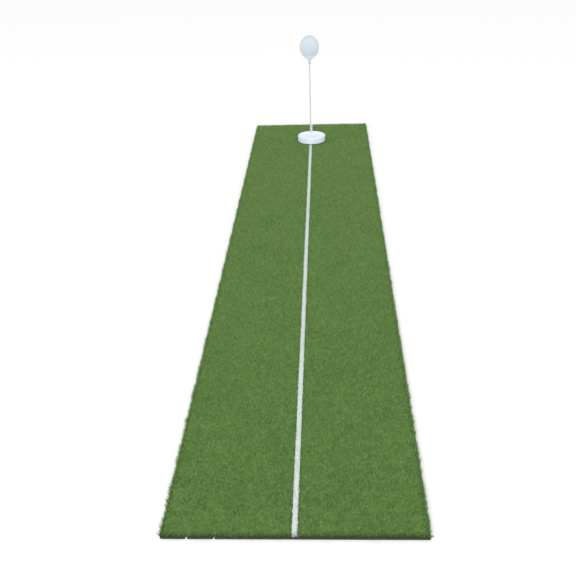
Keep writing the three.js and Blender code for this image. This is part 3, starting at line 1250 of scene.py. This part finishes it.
class PUTTINGMAT_OT_cup_fittings(bpy.types.Operator):
    """Builds the rubber grip ring under the cup and the liner of the flag's socket"""

    bl_idname = "putting_mat.cup_fittings"
    bl_label = "Grip ring and bush"

    def execute(self, context):
        settings = context.scene.putting_cup
        outer = (RING_HIGH[0] - RING_LOW[0]) / 2
        inner = outer - 7 * MM
        top = RING_HIGH[2] - RING_LOW[2]
        corner = 0.5 * MM
        groove_mouth, groove_floor, groove_depth = 0.45 * MM, 0.2 * MM, 0.6 * MM
        notch_radius, past = 6.6 * MM, 2 * MM
        profile = rounded((inner + corner, corner), corner, 180, 270)
        for groove in (1, 2, 3):
            middle = inner + (outer - inner) * groove / 4
            profile += [
                (middle - groove_mouth, 0.0),
                (middle - groove_floor, groove_depth),
                (middle + groove_floor, groove_depth),
                (middle + groove_mouth, 0.0),
            ]
        profile += rounded((outer - corner, corner), corner, -90, 0)
        profile += rounded((outer - corner, top - corner), corner, 0, 90)
        profile += rounded((inner + corner, top - corner), corner, 90, 180)
        profile.append(profile[0])
        ring = turned("grip_ring", profile, CUP_CENTRE, settings.steps)
        notch = cylinder("notch", ROD_AXIS, notch_radius, RING_LOW[2] - past, RING_HIGH[2] + past)
        combine(ring, notch, "DIFFERENCE", "MANIFOLD")
        smooth(ring)
        finish_piece(
            ring, "cup", "grip_rubber", rubber_material("grip_skin", settings.grip), "cup_grip_ring"
        )

        flange = (BUSH_HIGH[0] - BUSH_LOW[0]) / 2
        wall = flange - 1.2 * MM
        bore = wall - 1.6 * MM
        height = BUSH_HIGH[2] - BUSH_LOW[2]
        step = height - 1.2 * MM
        floor = 1.5 * MM
        foot_edge, flange_edge, mouth_edge = 0.4 * MM, 0.35 * MM, 0.6 * MM
        profile = [(0.0, 0.0)]
        profile += rounded((wall - foot_edge, foot_edge), foot_edge, -90, 0)
        profile += [(wall, step)]
        profile += rounded((flange - flange_edge, step + flange_edge), flange_edge, -90, 0)
        profile += rounded((flange - flange_edge, height - flange_edge), flange_edge, 0, 90)
        profile += rounded((bore + mouth_edge, height - mouth_edge), mouth_edge, 90, 180)
        profile += [(bore, floor), (0.0, floor)]
        bush = turned("socket_liner", profile, on_rod(BUSH_LOW[2]), 64)
        smooth(bush)
        finish_piece(
            bush,
            "bush",
            "bush_plastic",
            moulded_material("bush_skin", settings.bush, 0.6),
            "socket_bush",
        )
        return {"FINISHED"}


# ---- Flag ----


def turned_bar(name, radius, low, high, edge):
    """A round bar with rounded ends."""
    steps, rings = 48, 12
    profile = [(0.0, 0.0)]
    profile += rounded((radius - edge, edge), edge, -90, 0)
    length = high - low
    for index in range(1, rings):
        profile.append((radius, edge + (length - 2 * edge) * index / rings))
    profile += rounded((radius - edge, length - edge), edge, 0, 90)
    profile.append((0.0, length))
    return turned(name, profile, on_rod(low), steps)


class PUTTINGMAT_OT_rod(bpy.types.Operator):
    """Builds the flag's rod and the ring under its head"""

    bl_idname = "putting_mat.rod"
    bl_label = "Rod and collar"

    def execute(self, context):
        settings = context.scene.putting_flag
        radius = (ROD_HIGH[0] - ROD_LOW[0]) / 2
        rod = turned_bar("flag_stick", radius, ROD_LOW[2], ROD_HIGH[2], 0.8 * MM)
        smooth(rod)
        finish_piece(
            rod,
            "flagstick",
            "rod_lacquer",
            moulded_material("rod_lacquer_skin", settings.rod, 0.32, 900.0, 0.012 * MM, 0.2, 0.4),
            "flag_rod",
        )

        outer = (COLLAR_HIGH[0] - COLLAR_LOW[0]) / 2
        gap = 0.3 * MM
        inner = radius + gap
        length = COLLAR_HIGH[2] - COLLAR_LOW[2]
        edge = 0.7 * MM
        fine_edge = 0.3 * MM
        band_mouth, band_floor, band_depth = 0.4 * MM, 0.15 * MM, 0.3 * MM
        profile = rounded((inner + fine_edge, fine_edge), fine_edge, 180, 270, 3)
        profile += rounded((outer - edge, edge), edge, -90, 0)
        for band in (0.36, 0.6):
            middle = length * band
            profile += [
                (outer, middle - band_mouth),
                (outer - band_depth, middle - band_floor),
                (outer - band_depth, middle + band_floor),
                (outer, middle + band_mouth),
            ]
        profile += rounded((outer - fine_edge, length - fine_edge), fine_edge, 0, 90, 3)
        profile += rounded((inner + fine_edge, length - fine_edge), fine_edge, 90, 180, 3)
        profile.append(profile[0])
        collar = turned("collar_ring", profile, on_rod(COLLAR_LOW[2]), 64)
        smooth(collar)
        finish_piece(
            collar,
            "flagstick",
            "collar_plastic",
            moulded_material("collar_skin", settings.collar, 0.5),
            "neck_collar",
        )
        return {"FINISHED"}


HEAD_HALF_WIDTH = (HEAD_HIGH[0] - HEAD_LOW[0]) / 2
HEAD_RISE = 45 * MM
HEAD_LEVEL = HEAD_HIGH[2] - HEAD_RISE
HEAD_TAIL = 48.6 * MM
TAIL_FLARE = (5.5 * MM, 2.7 * MM - HEAD_TAIL)
TAIL_SHOULDER = (HEAD_HALF_WIDTH, -32.5 * MM)
HEAD_BORDER = 5 * MM
NECK_WIDTH = 10 * MM
WEB_HEIGHT = 16 * MM


def head_outline(inset):
    """The head's outline moved inwards: up the right side, over the round top, down the left."""
    tail_steps, arc_steps = 30, 72
    start = Vector((NECK_WIDTH / 2, -HEAD_TAIL))
    first = Vector(TAIL_FLARE)
    second = Vector(TAIL_SHOULDER)
    end = Vector((HEAD_HALF_WIDTH, 0))
    right = []
    for index in range(tail_steps):
        t = index / tail_steps
        s = 1 - t
        at = start * s**3 + first * 3 * s * s * t + second * 3 * s * t * t + end * t**3
        along = (first - start) * s * s + (second - first) * 2 * s * t + (end - second) * t * t
        along.normalize()
        right.append((at.x - along.y * inset, at.y + along.x * inset))
    top = [
        (across * (HEAD_HALF_WIDTH - inset), up * (HEAD_RISE - inset))
        for across, up in rounded((0, 0), 1, 0, 180, arc_steps)
    ]
    return right + top + [(-x, z) for x, z in reversed(right)]


def head_window(inset):
    """The part of the outline above the head's solid foot, closed straight across."""
    foot = -HEAD_TAIL + WEB_HEIGHT + inset - HEAD_BORDER
    points = head_outline(inset)
    inside = [point for point in points if point[1] > foot]
    below = points[points.index(inside[0]) - 1]
    share = (foot - below[1]) / (inside[0][1] - below[1])
    foot_x = below[0] + (inside[0][0] - below[0]) * share
    return [(foot_x, foot), *inside, (-foot_x, foot)]


def upright_plate(name, outline, thickness):
    """An outline in the head's plane, given a thickness about the middle."""
    points = [(x, ROD_AXIS[1] - thickness / 2, HEAD_LEVEL + z) for x, z in outline]
    return extruded(name, points, (0, thickness, 0))


class PUTTINGMAT_OT_head(bpy.types.Operator):
    """Builds the flag's head: the border with its sleeve, and the panel in it"""

    bl_idname = "putting_mat.head"
    bl_label = "Flag head"

    def execute(self, context):
        settings = context.scene.putting_flag
        thickness = 4.4 * MM
        panel_thickness = 1.2 * MM
        gap = 0.3 * MM
        grip = 2.6 * MM
        border = upright_plate("flag_border", head_outline(0), thickness)
        combine(border, upright_plate("window", head_window(HEAD_BORDER), thickness * 3), "DIFFERENCE")
        bevelled(border, 1.0 * MM, 4, 50)
        groove = upright_plate(
            "groove", head_window(HEAD_BORDER - grip - gap), panel_thickness + 2 * gap
        )
        combine(border, groove, "DIFFERENCE")
        sleeve_radius, bore_radius = 4.7 * MM, 2.8 * MM
        dome = 5 * MM
        edge = 0.5 * MM
        foot = HEAD_LOW[2]
        straight = ROD_HIGH[2] - foot
        profile = [(0.0, 0.0)]
        profile += rounded((sleeve_radius - edge, edge), edge, -90, 0)
        profile += [(sleeve_radius, straight)]
        for degrees in range(15, 90, 15):
            angle = math.radians(degrees)
            profile.append((sleeve_radius * math.cos(angle), straight + dome * math.sin(angle)))
        profile.append((0.0, straight + dome))
        sleeve = turned("sleeve", profile, on_rod(foot), 64)
        combine(border, sleeve, "UNION")
        bore = cylinder("bore", ROD_AXIS, bore_radius, foot - 1 * MM, ROD_HIGH[2] + gap, 48)
        combine(border, bore, "DIFFERENCE")
        smooth(border, 35)
        finish_piece(
            border,
            "flagstick",
            "head_border",
            moulded_material("border_skin", settings.border, 0.45),
            "head_border",
        )
        panel = upright_plate("flag_panel", head_window(HEAD_BORDER - grip), panel_thickness)
        bevelled(panel, 0.2 * MM, 2, 50)
        smooth(panel, 35)
        finish_piece(
            panel,
            "flagstick",
            "head_panel",
            moulded_material("panel_skin", settings.panel, 0.5),
            "head_panel",
        )
        return {"FINISHED"}


# ---- Stage ----


def place_light(light, place):
    """Puts a light at a place, shining at the middle of the mat."""
    lamp = linked(light.name, light)
    lamp.location = place
    lamp.rotation_euler = (-Vector(place)).to_track_quat("-Z", "Y").to_euler()


def camera_matrix(place, yaw, pitch, roll):
    """A camera looking along yaw (from +Y towards +X) and pitch below the horizon."""
    yaw, pitch, roll = (math.radians(angle) for angle in (yaw, pitch, roll))
    ahead = Vector((
        math.sin(yaw) * math.cos(pitch),
        math.cos(yaw) * math.cos(pitch),
        -math.sin(pitch),
    ))
    level = Vector((math.cos(yaw), -math.sin(yaw), 0))
    upright = level.cross(ahead)
    right = level * math.cos(roll) + upright * math.sin(roll)
    up = -level * math.sin(roll) + upright * math.cos(roll)
    turn = Matrix((right, up, -ahead)).transposed().to_4x4()
    return Matrix.Translation(place) @ turn


class PUTTINGMAT_OT_stage(bpy.types.Operator):
    """Builds the floor, the soft lights and the camera"""

    bl_idname = "putting_mat.stage"
    bl_label = "Stage"

    def execute(self, context):
        settings = context.scene.putting_stage
        deselect()
        bpy.ops.mesh.primitive_plane_add(size=400.0, location=(0, 0, -0.1 * MM))
        floor = bpy.context.object
        floor.name = "floor"
        surface, _, shader, _ = new_material("pale_floor")
        shader.inputs["Base Color"].default_value = (*settings.floor, 1.0)
        shader.inputs["Roughness"].default_value = 0.9
        shader.inputs["Specular IOR Level"].default_value = 0.1
        floor.data.materials.append(surface)

        world = bpy.data.worlds.new("surround")
        world.use_nodes = True
        tree = world.node_tree
        around = tree.nodes["Background"]
        around.inputs["Color"].default_value = (1.0, 1.0, 1.0, 1.0)
        around.inputs["Strength"].default_value = settings.surround
        backdrop = tree.nodes.new("ShaderNodeBackground")
        backdrop.inputs["Color"].default_value = (1.0, 1.0, 1.0, 1.0)
        seen = tree.nodes.new("ShaderNodeLightPath")
        choice = tree.nodes.new("ShaderNodeMixShader")
        tree.links.new(seen.outputs["Is Camera Ray"], choice.inputs[0])
        tree.links.new(around.outputs["Background"], choice.inputs[1])
        tree.links.new(backdrop.outputs["Background"], choice.inputs[2])
        tree.links.new(choice.outputs["Shader"], tree.nodes["World Output"].inputs["Surface"])
        context.scene.world = world
        key = bpy.data.lights.new("key", "AREA")
        key.energy = settings.key
        key.size = settings.key_size
        place_light(key, (-1.5, -5.2, 3.2))
        fill = bpy.data.lights.new("fill", "SUN")
        fill.energy = settings.fill
        fill.angle = settings.softness
        place_light(fill, (0.3, -5.0, 0.5))

        lens = bpy.data.cameras.new("camera")
        lens.lens = 52.98
        lens.sensor_width = 36.0
        lens.clip_start = 0.05
        lens.clip_end = 100.0
        camera = linked("camera", lens)
        place = Vector((58.35, -2294.96, 1021.5)) * MM
        camera.matrix_world = camera_matrix(place, -2.942, 26.931, -1.872)
        context.scene.camera = camera
        context.scene.view_settings.view_transform = "Standard"
        return {"FINISHED"}


# ---- Panel and registration ----


class PUTTINGMAT_PT_panel(bpy.types.Panel):
    """Lists the pieces and their settings in the sidebar"""

    bl_idname = "PUTTINGMAT_PT_panel"
    bl_label = "Putting mat"
    bl_space_type = "VIEW_3D"
    bl_region_type = "UI"
    bl_category = "Putting mat"

    def draw(self, context):
        for name, operators in SECTIONS:
            box = self.layout.box()
            settings = getattr(context.scene, name)
            for key in settings.__annotations__:
                box.prop(settings, key)
            for operator in operators:
                box.operator(operator.bl_idname)


SECTIONS = [
    ("putting_stage", [PUTTINGMAT_OT_stage]),
    ("putting_backing", [PUTTINGMAT_OT_backing]),
    ("putting_turf", [PUTTINGMAT_OT_turf, PUTTINGMAT_OT_line]),
    ("putting_cup", [PUTTINGMAT_OT_cup, PUTTINGMAT_OT_cup_fittings]),
    ("putting_flag", [PUTTINGMAT_OT_rod, PUTTINGMAT_OT_head]),
]

GROUPS = {
    "putting_stage": StageSettings,
    "putting_backing": BackingSettings,
    "putting_turf": TurfSettings,
    "putting_cup": CupSettings,
    "putting_flag": FlagSettings,
}


def register():
    for name, group in GROUPS.items():
        bpy.utils.register_class(group)
        setattr(bpy.types.Scene, name, bpy.props.PointerProperty(type=group))
    for _, operators in SECTIONS:
        for operator in operators:
            bpy.utils.register_class(operator)
    bpy.utils.register_class(PUTTINGMAT_PT_panel)


def unregister():
    bpy.utils.unregister_class(PUTTINGMAT_PT_panel)
    for _, operators in reversed(SECTIONS):
        for operator in reversed(operators):
            bpy.utils.unregister_class(operator)
    for name, group in GROUPS.items():
        delattr(bpy.types.Scene, name)
        bpy.utils.unregister_class(group)


def main():
    register()
    bpy.ops.putting_mat.stage()
    bpy.ops.putting_mat.backing()
    bpy.ops.putting_mat.turf()
    bpy.ops.putting_mat.line()
    bpy.ops.putting_mat.cup()
    bpy.ops.putting_mat.cup_fittings()
    bpy.ops.putting_mat.rod()
    bpy.ops.putting_mat.head()
    deselect()


if __name__ == "__main__":
    main()
